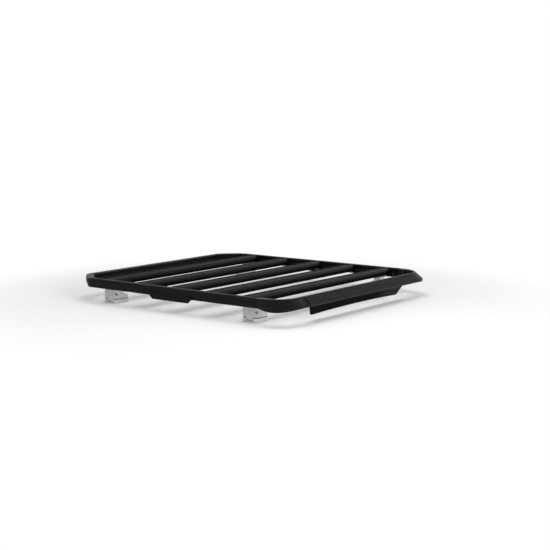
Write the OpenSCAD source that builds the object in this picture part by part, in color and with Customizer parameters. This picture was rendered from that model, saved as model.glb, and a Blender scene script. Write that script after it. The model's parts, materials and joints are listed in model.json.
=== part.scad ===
// Flat platform roof rack: an open frame of extruded rails and cast corners,
// five cross slats with bolt channels, a front wind deflector and four feet.
// +X points to the vehicle's front, +Y to its left and +Z up.
// Shapes are drawn from the rear right corner of the platform with its top at z = 0,
// and then moved so that the feet rest on z = 0 with the rack centred over the origin.

/* [Platform] */
// Length between the upper edges of the rear and front rails
platform_l = 1426; // [1300:1:1600]
// Width over the side rails
platform_w = 1350; // [1200:1:1500]
// Height of the side, front and rear rails
rail_h = 50; // [50:1:56]
// Width of the flat top of the side and rear rails
rail_w = 30; // [28:1:36]
// Wall thickness of the extruded rails
rail_wall = 3; // [2.5:0.5:3.5]
// Depth of the crease along the outer face of the side rails
side_crease = 28; // [26:1:34]
// Inward slant of the side rails' outer face below the crease
side_tuck = 4; // [2:1:6]
// Depth at which the rear rail's outer face starts to draw in
rear_crease = 14; // [12:1:18]
// Inward slant of the rear rail's outer face
rear_tuck = 19; // [14:1:19]

/* [Corners] */
// Plan radius of the front castings' outer upper edge
corner_r = 140; // [120:5:145]
// Length of each casting along the side rail, front
corner_reach = 155; // [150:1:170]
// Length of each rear casting along the side rail and along the rear rail
rear_reach = 152; // [150:1:170]
// Distance from the side to the joint between casting and front rail
corner_span = 168; // [160:1:178]
// Distance from the side to the inner edge of the front castings' top
front_web = 42; // [38:1:48]
// Extra depth of the front castings' lower edge where it is lowest
corner_sag = 10; // [4:1:16]
// Turn along the bend at which the lower edge is lowest
sag_turn = 32; // [20:1:60]
// Outward flare of the nose in the middle of the bend
corner_flare = 8; // [0:1:10]
// Turn along the bend at which the side rail's outline has become the front rail's
blend_turn = 50; // [40:1:90]
// Distance from the corner to each end of the rear castings' cut-off corner
chamfer = 107; // [95:1:110]
// Plan radius at both ends of the cut-off corner
chamfer_r = 90; // [70:5:90]
// Width of the rear castings' top across the cut-off corner
chamfer_w = 44; // [40:1:50]
// Wall thickness of the castings
cast_wall = 4; // [3:0.5:5]
// Width of the groove round a casting at its joints
groove_w = 2.5; // [1:0.5:3]
// Depth of the groove round a casting at its joints
groove_h = 2; // [0.5:0.5:2]
// Slit between a casting's inner wall and its lower flange
wall_slit = 0.3; // [0.2:0.1:0.5]
// Radius of the tie-down holes in the castings' inner walls
web_hole_r = 6; // [5:0.5:8]
// Depth of the tie-down holes' middle below the top
web_hole_z = 15; // [13:1:20]
// Distance of a front tie-down hole from the casting's joint with the side rail
front_hole_x = 57; // [40:1:65]
// Distance between the two tie-down holes of a rear casting
rear_hole_apart = 92; // [60:1:100]
// Depth of the pockets in the castings' tops
pocket_h = 2.5; // [1.5:0.5:3]
// Radius of the bolt pocket in a front casting's top
bolt_pocket_r = 6.5; // [5.5:0.5:7]
// Distance of the bolt pocket from the joint with the side rail
bolt_from_joint = 14; // [12:1:24]
// Distance of the bolt pocket from the side
bolt_from_side = 33; // [30:1:34]
// Width of the slot pocket in a rear casting's top
pocket_w = 11; // [8:1:12]
// Length of the slot pocket
pocket_l = 14; // [12:1:16]
// Distance of the slot pocket's middle from the rear edge
pocket_from_rear = 15; // [12:1:18]
// Distance of the slot pocket's middle from the joint with the rear rail
pocket_from_joint = 11; // [11:1:14]

/* [Front nose] */
// Radius of the front rail's rounded upper edge
crest_r = 14; // [8:1:16]
// Angle of the sloped front face below the horizontal
nose_angle = 40; // [36:1:44]
// Forward run of the sloped front face
nose_run = 38; // [34:1:42]
// Height of the sloped front face
nose_drop = 31; // [29:1:33]
// Height of the upright band below the slope
nose_band = 13; // [11:1:14]
// Forward lean of the upright band
band_lean = 2; // [1:0.5:3]
// Radius between the slope and the upright band
nose_r = 4; // [2:0.5:5]
// Setback of the underside's front edge behind the band
chin = 6; // [4:1:8]
// Depth of the front rail behind its upper edge
front_back = 8; // [7:1:12]

/* [Slats] */
// Distance from the rear edge to the first slat
slat_first = 210; // [190:1:230]
// Distance from the last slat to the upper edge of the front rail
slat_last = 204; // [190:1:230]
// Front to rear width of a slat
slat_w = 52; // [50:1:58]
// Height of a slat
slat_h = 38; // [36:1:42]
// Radius of the rounded front of a slat
slat_nose_r = 26; // [22:1:27]
// Radius of the lower front edge of a slat
slat_toe_r = 5; // [4:0.5:6]
// Wall thickness of a slat
slat_wall = 2.5; // [2:0.5:3]
// Distance from a slat's rear face to the middle of its upper channel
slat_slot_x = 13; // [12:0.5:14]

/* [Bolt channels] */
// Width of the channel mouth
slot_w = 9; // [8:0.5:10]
// Width of the channel behind its mouth
slot_wide = 18; // [16:0.5:19]
// Thickness of the channel lips
slot_lip = 2.5; // [2:0.5:3]
// Depth of the channel behind its lips
slot_deep = 6; // [5:0.5:7]
// Depth of the rail channel's middle below the top
rail_slot_z = 15; // [14:1:17]
// Length of the wide entry near each end of a slat channel
entry_l = 22; // [20:1:30]
// Distance from the side rail to the wide entry
entry_from_rail = 8; // [6:1:20]

/* [Slat brackets] */
// Reach of a slat bracket under its slat
bracket_reach = 26; // [20:1:28]
// Length of a slat bracket along the rail
bracket_l = 40; // [30:1:46]
// Thickness of the slat brackets and their ribs
bracket_t = 4; // [3:0.5:5]
// Radius of the screw holes in the brackets
screw_r = 3.2; // [2.5:0.1:4]

/* [Wind deflector] */
// Thickness of the nose cover and of the deflector sheet
sheet_t = 3; // [2:0.5:4]
// Distance from the side to the end of the nose cover
cover_from_side = 185; // [180:1:200]
// Distance from the side to the upper corner of the deflector
deflector_from_side = 235; // [210:1:260]
// Distance of the deflector's bend in front of the front rail's upper edge
deflector_x = 8; // [4:1:12]
// Inward slant of each deflector end
deflector_slant = 40; // [20:1:60]
// Depth of the deflector below the rail at its ends
deflector_drop = 55; // [40:1:60]
// Height of the arch in the deflector's lower edge
deflector_arch = 8; // [4:1:14]
// Rearward lean of the deflector's lower edge
deflector_lean = 22; // [10:1:24]
// Radius of the deflector's lower corners
deflector_r = 10; // [6:1:14]
// Depth of the folded rim along the deflector's ends and lower edge
deflector_rim = 8; // [6:1:10]
// Width of the deflector's flange under the front rail
deflector_flange = 24; // [20:1:26]

/* [Side plates] */
// Distance of the side plates' middle in front of the platform's middle
plate_offset = 6.5; // [-40:0.5:40]
// Length of the side plate's upper edge
plate_l = 281; // [200:1:320]
// Slant of each end of the side plate
plate_slant = 15; // [5:1:30]
// Drop of the side plate below the rail
plate_drop = 18; // [10:1:24]
// Thickness of the side plate
plate_t = 4; // [3:0.5:5]
// Radius of the side plate's lower corners
plate_r = 5; // [3:0.5:8]

/* [Feet] */
// Height from the pads' undersides to the platform's top
stand_h = 135; // [130:1:150]
// Distance from the side to the outboard face of a foot
foot_from_side = 60; // [60:1:80]
// Length of a foot along the vehicle
foot_l = 94; // [84:1:100]
// Width of a foot across the vehicle
foot_w = 95; // [84:1:100]
// Distance of a foot's middle behind the middle of its slat
foot_back = 7; // [0:1:10]
// Thickness of the rubber pad
pad_t = 5; // [4:1:8]
// Height of the foot base above the pad
foot_base_h = 16; // [14:1:20]
// Height of the groove between base and cover
foot_groove = 4; // [1.5:0.5:5]
// Radius of the foot's upright corners
foot_r = 10; // [8:1:14]
// Radius of the foot's outboard front corner
foot_nose_r = 28; // [20:1:32]
// Depth of the cover's outboard top edge below the platform's top
cover_high = 60; // [58:1:66]
// Depth of the cover's inboard top edge below the platform's top
cover_low = 95; // [86:1:98]
// Size of the bevel at the cover's rear top edge
cover_bevel = 11; // [6:1:16]
// Wall thickness of the foot cover
cover_wall = 3; // [2.5:0.5:4]
// Width of the tab that reaches down from the cover over the base
tab_w = 40; // [30:1:44]
// Depth of the tab below the cover's lower edge
tab_h = 10; // [6:1:11]
// Gap between the tab and the base
tab_gap = 2.5; // [1:0.5:3]
// Length of the post between a foot's base and its plate
post_l = 40; // [30:1:44]
// Width of the post across the vehicle
post_w = 46; // [40:1:50]
// Gap between the post and the opening in the cover's top
post_gap = 0.5; // [0.3:0.1:1]
// Thickness of the plate between a foot and its slat
foot_plate_t = 6; // [5:0.5:8]
// Radius of the lock cylinder
lock_r = 8; // [6:0.5:9]
// Height of the lock's middle above the ground
lock_z = 50; // [44:1:52]
// Height of the lock's face over the cover
lock_proud = 1.5; // [1:0.5:3]
// Radius of the foot bolts' holes
foot_bolt_r = 4; // [3:0.5:4]

/* [Hidden] */

edge_r = 2;
slat_count = 5;
black = [0.11, 0.11, 0.12];
pale = [0.72, 0.72, 0.72];
rubber = [0.55, 0.55, 0.56];
$fn = 48;

slat_pitch = (platform_l - slat_first - slat_w - slat_last) / (slat_count - 1);
inner_w = platform_w - 2 * rail_w;
span_w = platform_w - 2 * corner_span;
rear_span_w = platform_w - 2 * rear_reach;
span_l = platform_l - corner_reach - rear_reach;
nose_reach = nose_run + band_lean;
band_q = 90 - atan2(band_lean, nose_band);
front_reach = nose_reach + sheet_t * sin(band_q);
x_mid = (platform_l + front_reach) / 2;

function slat_x(i) = slat_first + i * slat_pitch;
function mix(a, b, k) = a + (b - a) * k;
function smooth(k) = k * k * (3 - 2 * k);

// Unit normal of the front section's outline, turned from straight up towards the front
function normal(q) = [sin(q), cos(q)];

// Moves a shape from platform coordinates to its place in the part
module placed() {
    translate([-x_mid, -platform_w / 2, stand_h]) children();
}

// Mirrors a right-hand piece to the left side
module on_left() {
    translate([0, platform_w, 0]) mirror([0, 1, 0]) children();
}

// Bolt channel outline, mouth at the origin and opening upwards
module channel_2d() {
    translate([-slot_w / 2, -slot_lip - 1]) square([slot_w, slot_lip + 2]);
    translate([-slot_wide / 2, -slot_lip - slot_deep]) square([slot_wide, slot_deep]);
}

// Outer outlines of the rails as points [u, z] from the upper edge to the lower edge.
// Each has nine points, so that a casting can change from one outline to the other.
function edge_line() = [for (q = [0:30:90]) edge_r * [sin(q) - 1, cos(q) - 1]];
function side_line() = concat(edge_line(), [
    [0, -side_crease / 2], [0, -side_crease + edge_r], [0, -side_crease],
    [-side_tuck / 2, -(rail_h + side_crease) / 2], [-side_tuck, -rail_h]
]);
function rear_line() = concat(edge_line(), [
    [0, -rear_crease / 2], [0, -rear_crease],
    for (k = [1:3]) [-rear_tuck * k / 3, mix(-rear_crease, -rail_h, k / 3)]
]);

// Front outline: rounded crest, slope, rounded nose, upright band and underside's front edge.
// It can be drawn outwards by a sheet's thickness.
crest_u = nose_run - (crest_r - (crest_r - nose_drop) * cos(nose_angle)) / sin(nose_angle);
nose_turn = (band_q - nose_angle) / 2;
nose_c = [nose_run, -nose_drop] - nose_r / cos(nose_turn) * normal(nose_angle + nose_turn);
function crest_pt(q, out) = [crest_u, -crest_r] + (crest_r + out) * normal(q);
function nose_pt(q, out) = nose_c + (nose_r + out) * normal(q);
function band_pt(out) = [nose_reach, -nose_drop - nose_band] + out * normal(band_q);
function front_line() = [
    crest_pt(0, 0), crest_pt(nose_angle / 3, 0), crest_pt(2 * nose_angle / 3, 0), crest_pt(nose_angle, 0),
    (crest_pt(nose_angle, 0) + nose_pt(nose_angle, 0)) / 2,
    nose_pt(nose_angle, 0), nose_pt(band_q, 0), band_pt(0), [nose_reach - chin, -rail_h]
];
function backwards(list) = [for (i = [len(list) - 1:-1:0]) list[i]];

// Inward offset of a rail's outer face at a height z below its crease
function face_u(z, crease, tuck) =
    z > -crease ? 0 : -tuck * (-z - crease) / (rail_h - crease);

// Closed rail section: outer face at u = 0, inner face at u = -rail_w, top at z = 0
module rail_2d(line, crease, tuck) {
    skin = rail_wall * 1.15;
    channel_back = slot_lip + slot_deep + rail_wall;
    low_top = -rail_slot_z - slot_wide / 2 - rail_wall;
    low_end = -rail_h + rail_wall;
    mid = low_top + rail_wall;
    kink = max(-crease, mid);
    difference() {
        polygon(concat(line, [[-rail_w, -rail_h], [-rail_w, 0]]));
        polygon([
            [-rail_w + rail_wall, low_top], [-rail_w + rail_wall, low_end],
            [face_u(low_end, crease, tuck) - skin, low_end],
            [face_u(low_top, crease, tuck) - skin, low_top]
        ]);
        polygon([
            [-rail_w + channel_back, -rail_wall], [-skin, -rail_wall], [-skin, kink],
            [face_u(mid, crease, tuck) - skin, mid - 0.01], [-rail_w + channel_back, mid]
        ]);
        translate([-rail_w, -rail_slot_z]) rotate(90) channel_2d();
    }
}

// Side rail on the right, running forward between the castings
module side_rail() {
    translate([rear_reach, 0, 0]) rotate([90, 0, 90])
        linear_extrude(span_l) mirror([1, 0]) rail_2d(side_line(), side_crease, side_tuck);
}

module right_side_rail() { color(black) placed() side_rail(); }
module left_side_rail() { color(black) placed() on_left() side_rail(); }

module rear_rail() {
    color(black) placed() translate([0, rear_reach, 0]) rotate([90, 0, 180])
        linear_extrude(rear_span_w) rail_2d(rear_line(), rear_crease, rear_tuck);
}

// Front rail: closed section under the slope, with a crosswise wall below the crest
module front_rail_2d() {
    t = rail_wall;
    difference() {
        polygon(concat(front_line(), [[-front_back, -rail_h], [-front_back, 0]]));
        polygon([
            [-front_back + t, -t - 1], crest_pt(nose_angle, -1.6 * t), nose_pt(nose_angle, -t),
            band_pt(-t), [nose_reach - chin - t / 2, -rail_h + t], [-front_back + t, -rail_h + t]
        ]);
    }
}

module front_rail() {
    color(black) placed() translate([platform_l, platform_w - corner_span, 0]) rotate([90, 0, 0])
        linear_extrude(span_w) front_rail_2d();
}

// Section of a casting as points [u, z] between two outlines. The inner wall at u = -back
// hangs from the top and ends a slit above the lower flange, so that the casting can drain.
// The lower part is moved by the sag [u, z], and the outside is drawn in by the groove at a joint.
function cast_section(from, to, k, back, sag, groove) =
    let (
        t = cast_wall,
        low = -rail_h + groove,
        fall = [0, 0, 0, 0, 0.4, 1, 1, 1, 1],
        lift = [-1, -1, -1, -1, -1, -1, 0, 0, 1],
        line = [for (i = [0:8]) mix(from[i], to[i], k) + fall[i] * sag + groove * [-1, lift[i]]]
    )
    concat(
        [[-back, -groove]], line,
        [[-back, low], [-back, low + t]],
        [line[8] + [-t, t], line[6] - [t, 0], line[4] - [1.2 * t, 0.2 * t]],
        [[max(line[0][0] - t / 2, -back + t + wall_slit), -t - groove], [-back + t, -t - groove]],
        [[-back + t, low + t + wall_slit], [-back, low + t + wall_slit]]
    );

// Casting swept through stations [x, y, turn, back, groove], from the side rail's outline
// to the outline given for the rail that it meets, which is reached at the blend's turn
module cast_shell(stations, to, blend, flare, sag) {
    sections = [for (s = stations) cast_section(
        side_line(), to, smooth(min(1, s[2] / blend)), s[3],
        [flare * pow(sin(2 * s[2]), 2), -sag * sag_at(s[2])], s[4]
    )];
    n = len(sections[0]);
    last = len(stations) - 1;
    points = [for (i = [0:last]) for (p = sections[i]) let (s = stations[i])
        [s[0] + p[0] * sin(s[2]), s[1] - p[0] * cos(s[2]), p[1]]];
    sides = [for (i = [0:last - 1]) for (j = [0:n - 1]) let (k = (j + 1) % n)
        each [
            [i * n + j, (i + 1) * n + j, (i + 1) * n + k],
            [i * n + j, (i + 1) * n + k, i * n + k]
        ]];
    cap = [
        [0, 1, 15, 16], [1, 2, 3, 4, 5, 14, 15], [5, 6, 13, 14], [6, 7, 13],
        [7, 8, 9, 12, 13], [9, 10, 11, 12], [0, 16, 17, 18]
    ];
    end = [for (c = cap) [for (j = backwards(c)) last * n + j]];
    polyhedron(points, concat(cap, end, sides));
}

// Share of the sag at a turn: it rises to the lowest place and dies out at the front joint
function sag_at(q) = q < sag_turn ? sin(90 * q / sag_turn) : smooth(1 - (q - sag_turn) / (90 - sag_turn));

// Stations at a joint, along a straight run from its end inwards, with a groove round the outside
function joint(at, along, turn, back) = [
    concat(at, [turn, back, groove_h]),
    concat(at + groove_w * along, [turn, back, groove_h]),
    concat(at + (groove_w + wall_slit) * along, [turn, back, 0])
];

// Front casting: quarter-circle bend whose top keeps a straight inner edge up to the crest,
// with a tie-down hole through the inner wall below that edge
function front_inner(q) = max(front_back, (front_web - corner_r * (1 - cos(q))) / max(cos(q), 0.01));
module front_casting() {
    cx = platform_l - corner_r;
    x0 = platform_l - corner_reach;
    steps = 24;
    stations = concat(
        joint([x0, 0], [1, 0], 0, rail_w),
        [for (i = [0:steps]) let (q = 90 * i / steps)
            [cx + corner_r * sin(q), corner_r * (1 - cos(q)), q, front_inner(q), 0]],
        backwards(joint([platform_l, corner_span], [0, -1], 90, front_back))
    );
    difference() {
        cast_shell(stations, front_line(), blend_turn, corner_flare, corner_sag);
        translate([x0 + front_hole_x, front_web + 2, -web_hole_z]) rotate([90, 0, 0])
            cylinder(r = web_hole_r, h = cast_wall + 4);
        translate([x0 + bolt_from_joint, bolt_from_side, -pocket_h])
            cylinder(r = bolt_pocket_r, h = pocket_h + 1);
    }
}

// Rear casting: the corner is cut off at 45 degrees between two arcs,
// with two tie-down holes through the inner wall along the cut
inner_cut = chamfer + chamfer_w * sqrt(2);
function rear_inner(q) = max(
    (rail_w - chamfer_r * (1 - cos(q))) / cos(q),
    chamfer_r - (chamfer + chamfer_r * (1 + tan(22.5)) - inner_cut) / (sin(q) + cos(q))
);
module rear_casting() {
    steps = 10;
    arc_x = chamfer + chamfer_r * tan(22.5);
    half = [for (i = [0:steps]) let (q = 45 * i / steps)
        [arc_x - chamfer_r * sin(q), chamfer_r * (1 - cos(q)), q, rear_inner(q), 0]];
    stations = concat(
        joint([rear_reach, 0], [-1, 0], 0, rail_w), half,
        [for (s = backwards(half)) [s[1], s[0], 90 - s[2], s[3], 0]],
        backwards(joint([0, rear_reach], [0, -1], 90, rail_w))
    );
    difference() {
        mirror([1, 0, 0])
            cast_shell([for (s = stations) [-s[0], s[1], s[2], s[3], s[4]]], rear_line(), 90, 0, 0);
        for (s = [-1, 1])
            translate([inner_cut / 2, inner_cut / 2, -web_hole_z]) rotate([0, 0, 45])
                translate([-cast_wall - 2, s * rear_hole_apart / 2, 0]) rotate([0, 90, 0])
                    cylinder(r = web_hole_r, h = cast_wall + 4);
        translate([pocket_from_rear, rear_reach - pocket_from_joint, -pocket_h])
            linear_extrude(pocket_h + 1) {
                square([pocket_w, pocket_l - pocket_w], center = true);
                for (s = [-1, 1]) translate([0, s * (pocket_l - pocket_w) / 2]) circle(d = pocket_w);
            }
    }
}

module front_right_corner() { color(black) placed() front_casting(); }
module front_left_corner() { color(black) placed() on_left() front_casting(); }
module rear_right_corner() { color(black) placed() rear_casting(); }
module rear_left_corner() { color(black) placed() on_left() rear_casting(); }

// Slat section drawn in by an inset: flat top, rounded front, small lower front radius
module slat_form(inset) {
    nose = slat_nose_r - inset;
    toe = max(slat_toe_r - inset, 1);
    intersection() {
        translate([inset, -slat_h + inset]) square([slat_w - 2 * inset, slat_h - 2 * inset]);
        union() {
            translate([inset, -slat_h + inset]) square([slat_w - slat_nose_r - inset, slat_h - 2 * inset]);
            translate([slat_w - slat_nose_r, -slat_nose_r]) circle(nose, $fn = 96);
            translate([slat_w - slat_nose_r - 1, -slat_h + inset + toe])
                square([nose + 1, slat_h - slat_nose_r - inset - toe]);
            translate([slat_w - slat_nose_r - 1, -slat_h + inset]) square([nose + 1 - toe, toe + 1]);
            translate([slat_w - inset - toe, -slat_h + inset + toe]) circle(toe, $fn = 32);
        }
    }
}

module slat_2d() {
    house_w = slot_wide + 2 * slat_wall;
    house_h = slot_lip + slot_deep + slat_wall;
    difference() {
        slat_form(0);
        difference() {
            slat_form(slat_wall);
            translate([slat_slot_x - house_w / 2, -house_h]) square([house_w, house_h]);
            translate([slat_w / 2 - house_w / 2, -slat_h]) square([house_w, house_h]);
        }
        translate([slat_slot_x, 0]) channel_2d();
        translate([slat_w / 2, -slat_h]) rotate(180) channel_2d();
    }
}

// One slat between the side rails, with wide entries to its upper channel near both ends
module slat(i) {
    color(black) placed() translate([slat_x(i), 0, 0]) difference() {
        translate([0, platform_w - rail_w, 0]) rotate([90, 0, 0]) linear_extrude(inner_w) slat_2d();
        for (y = [rail_w + entry_from_rail, platform_w - rail_w - entry_from_rail - entry_l])
            translate([slat_slot_x - slot_wide / 2, y, -slot_lip - 1])
                cube([slot_wide, entry_l, slot_lip + 2]);
    }
}

// Bracket that ties a slat's end to the side rail: angle with a rib at each end
module slat_bracket() {
    x0 = (slat_w - bracket_l) / 2;
    low = rail_h - slat_h;
    difference() {
        union() {
            translate([x0, rail_w, -slat_h - bracket_t]) cube([bracket_l, bracket_reach, bracket_t]);
            translate([x0, rail_w, -rail_h]) cube([bracket_l, bracket_t, low]);
            for (x = [x0, x0 + bracket_l - bracket_t])
                translate([x, rail_w, -slat_h]) rotate([90, 0, 90]) linear_extrude(bracket_t)
                    polygon([[0, -1], [bracket_reach, -1], [bracket_reach, -bracket_t], [bracket_t, -low], [0, -low]]);
        }
        for (dx = [-bracket_l / 5, bracket_l / 5])
            translate([slat_w / 2 + dx, rail_w + bracket_reach - 2 * screw_r - 2, -slat_h - bracket_t - 1])
                cylinder(r = screw_r, h = bracket_t + 2);
    }
}

module slat_brackets() {
    for (i = [0:slat_count - 1]) translate([slat_x(i), 0, 0]) slat_bracket();
}

module right_slat_brackets() { color(black) placed() slat_brackets(); }
module left_slat_brackets() { color(black) placed() on_left() slat_brackets(); }

// Sheet that follows the front rail's slope, nose and band
module nose_cover() {
    function wrap(out) = concat(
        [crest_pt(nose_angle, out)],
        [for (q = [nose_angle:nose_turn:band_q]) nose_pt(q, out)],
        [band_pt(out)]
    );
    color(black) placed() translate([platform_l, platform_w - cover_from_side, 0]) rotate([90, 0, 0])
        linear_extrude(platform_w - 2 * cover_from_side) polygon(concat(wrap(0), backwards(wrap(sheet_t))));
}

// Outline of the deflector seen from the front, drawn in by an inset: slanted ends,
// rounded lower corners and an arched lower edge
module deflector_2d(inset) {
    half_w = platform_w / 2 - deflector_from_side - inset;
    low_w = half_w - deflector_slant;
    low = -deflector_drop + inset;
    side_q = atan2(deflector_drop, deflector_slant);
    corner_x = low_w - deflector_r * tan(side_q / 2);
    arch_r = (pow(low_w, 2) + pow(deflector_arch, 2)) / (2 * deflector_arch);
    difference() {
        union() {
            polygon([
                [-half_w, 0], [-corner_x - deflector_r * sin(side_q), low + deflector_r * (1 - cos(side_q))],
                [-corner_x, low], [corner_x, low],
                [corner_x + deflector_r * sin(side_q), low + deflector_r * (1 - cos(side_q))], [half_w, 0]
            ]);
            for (s = [-1, 1]) translate([s * corner_x, low + deflector_r]) circle(deflector_r);
        }
        translate([0, low + deflector_arch - arch_r]) circle(arch_r, $fn = 256);
    }
}

// Sheet that hangs below the front rail and leans back, with a flange above and a folded rim
module wind_deflector() {
    lean = deflector_lean / deflector_drop;
    run = sheet_t * sqrt(1 + lean * lean);
    rim = deflector_rim * sqrt(1 + lean * lean);
    reach = deflector_flange + deflector_lean + rim;
    module crosswise(points) {
        translate([0, platform_w, 0]) rotate([90, 0, 0]) linear_extrude(platform_w) polygon(points);
    }
    module endwise() {
        translate([-reach, platform_w / 2, 0]) rotate([90, 0, 90]) linear_extrude(2 * reach) children();
    }
    color(black) placed() translate([platform_l + deflector_x, 0, -rail_h]) union() {
        intersection() {
            crosswise([
                [-deflector_flange, 0], [0, 0], [-deflector_lean, -deflector_drop],
                [-deflector_lean - run, -deflector_drop], [-run - sheet_t * lean, -sheet_t],
                [-deflector_flange, -sheet_t]
            ]);
            endwise() deflector_2d(0);
        }
        intersection() {
            crosswise([
                [-sheet_t * lean, -sheet_t], [-deflector_lean, -deflector_drop],
                [-deflector_lean - rim, -deflector_drop], [-rim - sheet_t * lean, -sheet_t]
            ]);
            endwise() difference() {
                deflector_2d(0);
                deflector_2d(sheet_t);
            }
        }
    }
}

// Plate on a side rail that hangs below its lower edge
module side_plate() {
    low = -rail_h - plate_drop;
    translate([(platform_l - plate_l) / 2 + plate_offset, 0, 0])
        rotate([90, 0, 0]) linear_extrude(plate_t) hull() {
        translate([0, -side_crease - 2]) square([plate_l, 1]);
        translate([0, -rail_h]) square([plate_l, 1]);
        for (x = [plate_slant + plate_r, plate_l - plate_slant - plate_r])
            translate([x, low + plate_r]) circle(plate_r, $fn = 32);
    }
}

module right_side_plate() { color(black) placed() side_plate(); }
module left_side_plate() { color(black) placed() on_left() side_plate(); }

// Foot pieces are drawn about the foot's centre, outboard face towards -Y,
// with z = 0 on the ground
foot_top = stand_h - slat_h;
base_top = pad_t + foot_base_h;
cover_from = base_top + foot_groove;

module foot_place(right, front) {
    at = [slat_x(front ? slat_count - 1 : 0) + slat_w / 2 - foot_back, foot_from_side + foot_w / 2, -stand_h];
    if (right) placed() translate(at) children();
    else placed() on_left() translate(at) children();
}

// Outline of a foot, drawn in by an inset, with a large radius at the outboard front corner
module foot_2d(inset) {
    l = foot_l - 2 * inset;
    w = foot_w - 2 * inset;
    difference() {
        square([l, w], center = true);
        for (sx = [-1, 1]) for (sy = [-1, 1]) {
            r = (sx > 0 && sy < 0 ? foot_nose_r : foot_r) - inset;
            translate([sx * l / 2, sy * w / 2]) difference() {
                translate([sx > 0 ? -r : -1, sy > 0 ? -r : -1]) square(r + 1);
                translate([-sx * r, -sy * r]) circle(r);
            }
        }
    }
}

module foot_pad() {
    linear_extrude(pad_t) foot_2d(0);
}

// Base with a groove below the cover, a recess for the cover's tab, and a post up to the plate
module foot_base() {
    post_h = foot_top - foot_plate_t - base_top;
    difference() {
        union() {
            translate([0, 0, pad_t]) linear_extrude(foot_base_h) foot_2d(0.5);
            translate([0, 0, base_top]) linear_extrude(foot_groove) foot_2d(cover_wall + 2);
        }
        translate([-tab_w / 2 - tab_gap, -foot_w / 2 - 1, base_top - tab_h - tab_gap])
            cube([tab_w + 2 * tab_gap, cover_wall + 3, tab_h + tab_gap + foot_groove]);
    }
    translate([foot_back - post_l / 2, -post_w / 2, base_top]) cube([post_l, post_w, post_h]);
}

// Everything under the cover's sloped top and rear bevel, drawn in by an inset
module below_cover_top(inset) {
    high = stand_h - cover_high - inset;
    low = stand_h - cover_low - inset;
    w = foot_w / 2 + 1;
    intersection() {
        translate([-foot_l, 0, 0]) rotate([90, 0, 90]) linear_extrude(2 * foot_l)
            polygon([[-w, 0], [w, 0], [w, low], [-w, high]]);
        translate([0, w, 0]) rotate([90, 0, 0]) linear_extrude(2 * w) polygon([
            [-foot_l / 2 - 1, 0], [foot_l / 2 + 1, 0], [foot_l / 2 + 1, stand_h],
            [-foot_l / 2 + cover_bevel + stand_h - high, stand_h], [-foot_l / 2 - 1, high - cover_bevel - 1]
        ]);
    }
}

// Hollow cover with a sloped top, an opening for the post and a tab over the base
module foot_cover() {
    difference() {
        intersection() {
            translate([0, 0, cover_from]) linear_extrude(stand_h) foot_2d(0);
            below_cover_top(0);
        }
        intersection() {
            translate([0, 0, cover_from - 1]) linear_extrude(stand_h) foot_2d(cover_wall);
            below_cover_top(cover_wall);
        }
        translate([foot_back - post_l / 2 - post_gap, -post_w / 2 - post_gap, 0])
            cube([post_l + 2 * post_gap, post_w + 2 * post_gap, stand_h]);
        lock_place() translate([0, 0, -foot_nose_r]) cylinder(r = lock_r, h = foot_nose_r + 5);
    }
    translate([-tab_w / 2, -foot_w / 2, base_top - tab_h])
        cube([tab_w, cover_wall - 0.5, tab_h + foot_groove + 0.5]);
}

// Moves a shape to the lock's seat in the middle of the large corner, +Z outwards
module lock_place() {
    translate([foot_l / 2 - foot_nose_r, -foot_w / 2 + foot_nose_r, lock_z])
        rotate([0, 0, -45]) translate([foot_nose_r, 0, 0]) rotate([0, 90, 0]) children();
}

module foot_lock() {
    difference() {
        lock_place() translate([0, 0, -2 * cover_wall])
            cylinder(r = lock_r, h = 2 * cover_wall + lock_proud);
        lock_place() translate([-lock_r / 2, -1.2, lock_proud - 2]) cube([lock_r, 2.4, 3]);
    }
}

module foot_plate() {
    plate_w = foot_w - 6;
    translate([foot_back, 0, foot_top - foot_plate_t]) difference() {
        translate([-slat_w / 2 + 2, -plate_w / 2, 0]) cube([slat_w - 4, plate_w, foot_plate_t]);
        for (y = [-post_w / 2 - 10, post_w / 2 + 10])
            translate([0, y, -1]) cylinder(r = foot_bolt_r, h = foot_plate_t + 2);
    }
}

right_side_rail();
left_side_rail();
front_rail();
rear_rail();
front_right_corner();
front_left_corner();
rear_right_corner();
rear_left_corner();
slat(0);  // slat_1
slat(1);  // slat_2
slat(2);  // slat_3
slat(3);  // slat_4
slat(4);  // slat_5
right_slat_brackets();
left_slat_brackets();
nose_cover();
wind_deflector();
right_side_plate();
left_side_plate();
color(pale) foot_place(true, true) foot_base();  // front_right_foot_base
color(pale) foot_place(false, true) foot_base();  // front_left_foot_base
color(pale) foot_place(true, false) foot_base();  // rear_right_foot_base
color(pale) foot_place(false, false) foot_base();  // rear_left_foot_base
color(pale) foot_place(true, true) foot_cover();  // front_right_foot_cover
color(pale) foot_place(false, true) foot_cover();  // front_left_foot_cover
color(pale) foot_place(true, false) foot_cover();  // rear_right_foot_cover
color(pale) foot_place(false, false) foot_cover();  // rear_left_foot_cover
color(pale) foot_place(true, true) foot_lock();  // front_right_foot_lock
color(pale) foot_place(false, true) foot_lock();  // front_left_foot_lock
color(pale) foot_place(true, false) foot_lock();  // rear_right_foot_lock
color(pale) foot_place(false, false) foot_lock();  // rear_left_foot_lock
color(rubber) foot_place(true, true) foot_pad();  // front_right_foot_pad
color(rubber) foot_place(false, true) foot_pad();  // front_left_foot_pad
color(rubber) foot_place(true, false) foot_pad();  // rear_right_foot_pad
color(rubber) foot_place(false, false) foot_pad();  // rear_left_foot_pad
color(pale) foot_place(true, true) foot_plate();  // front_right_foot_plate
color(pale) foot_place(false, true) foot_plate();  // front_left_foot_plate
color(pale) foot_place(true, false) foot_plate();  // rear_right_foot_plate
color(pale) foot_place(false, false) foot_plate();  // rear_left_foot_plate
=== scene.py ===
import json
import math

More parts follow.
